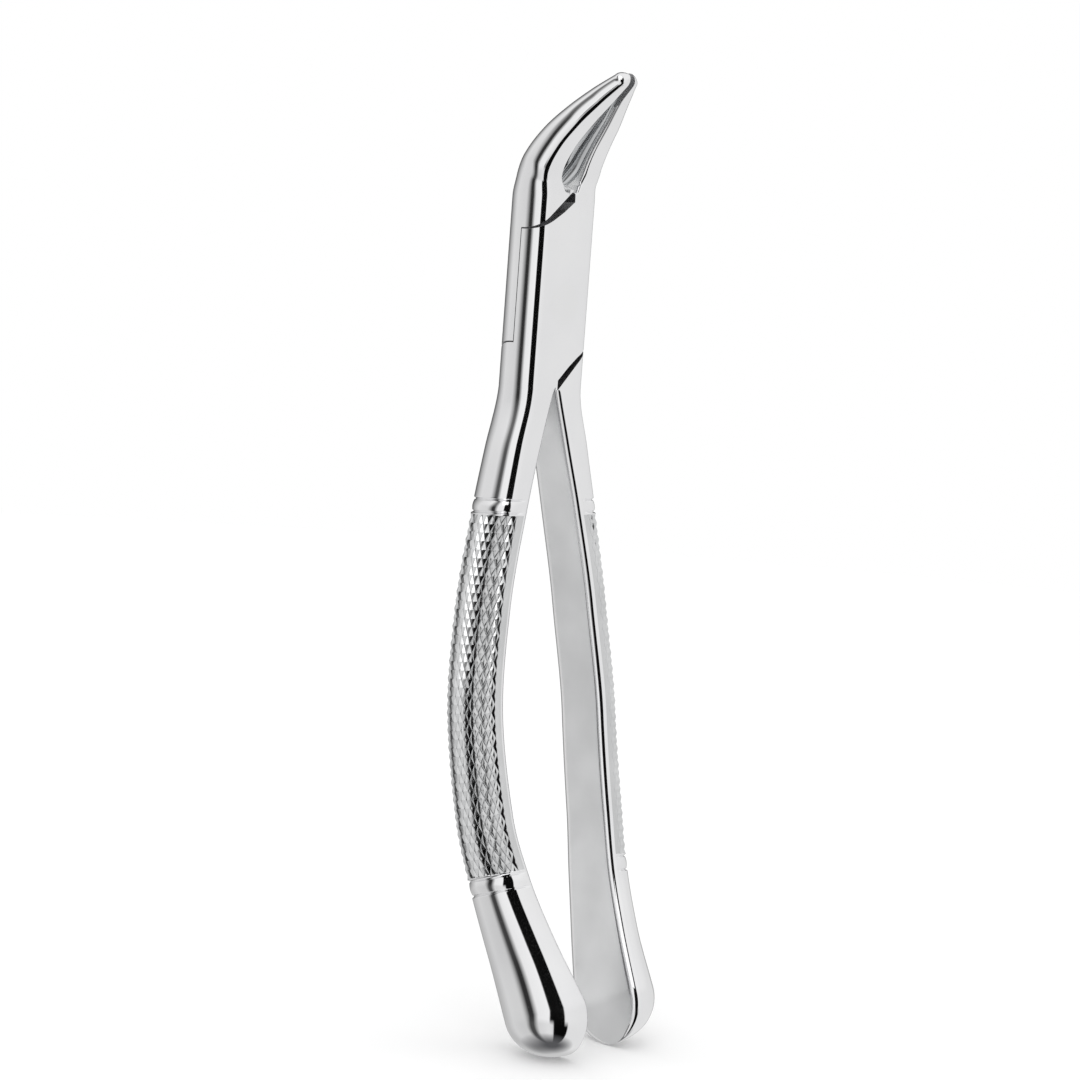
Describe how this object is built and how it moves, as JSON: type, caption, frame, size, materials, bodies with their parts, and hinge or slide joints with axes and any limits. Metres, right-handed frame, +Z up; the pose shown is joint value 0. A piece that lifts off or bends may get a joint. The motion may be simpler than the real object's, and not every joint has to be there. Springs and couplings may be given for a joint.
{
  "type": "dental extraction forceps",
  "caption": "Two-handled pivoting dental extraction forceps with forward-curved hollowed beaks, a flat lap joint and D-section chequered handles.",
  "frame": {"origin": "centre of the rivet, midway between the two ground faces of the joint", "axes": "+Z up from the handles to the beaks, -Y the front face of the joint, +X to the right seen from the front; the rivet lies along Y"},
  "size_m": [0.039, 0.0332, 0.1736],
  "materials": {
    "front_half_steel": "mirror polished",
    "rear_half_steel": "mirror polished",
    "pin_steel": "satin ground"
  },
  "bodies": {
    "front": {"front_half": "front_half_steel", "pivot_pin": "pin_steel"},
    "rear": {"rear_half": "rear_half_steel"}
  },
  "joints": [
    {"name": "joint_pivot", "type": "hinge", "parent": "front", "child": "rear", "pos_m": [0, 0, 0], "axis": [0, -1, 0], "range_deg": [-1, 36]}
  ]
}
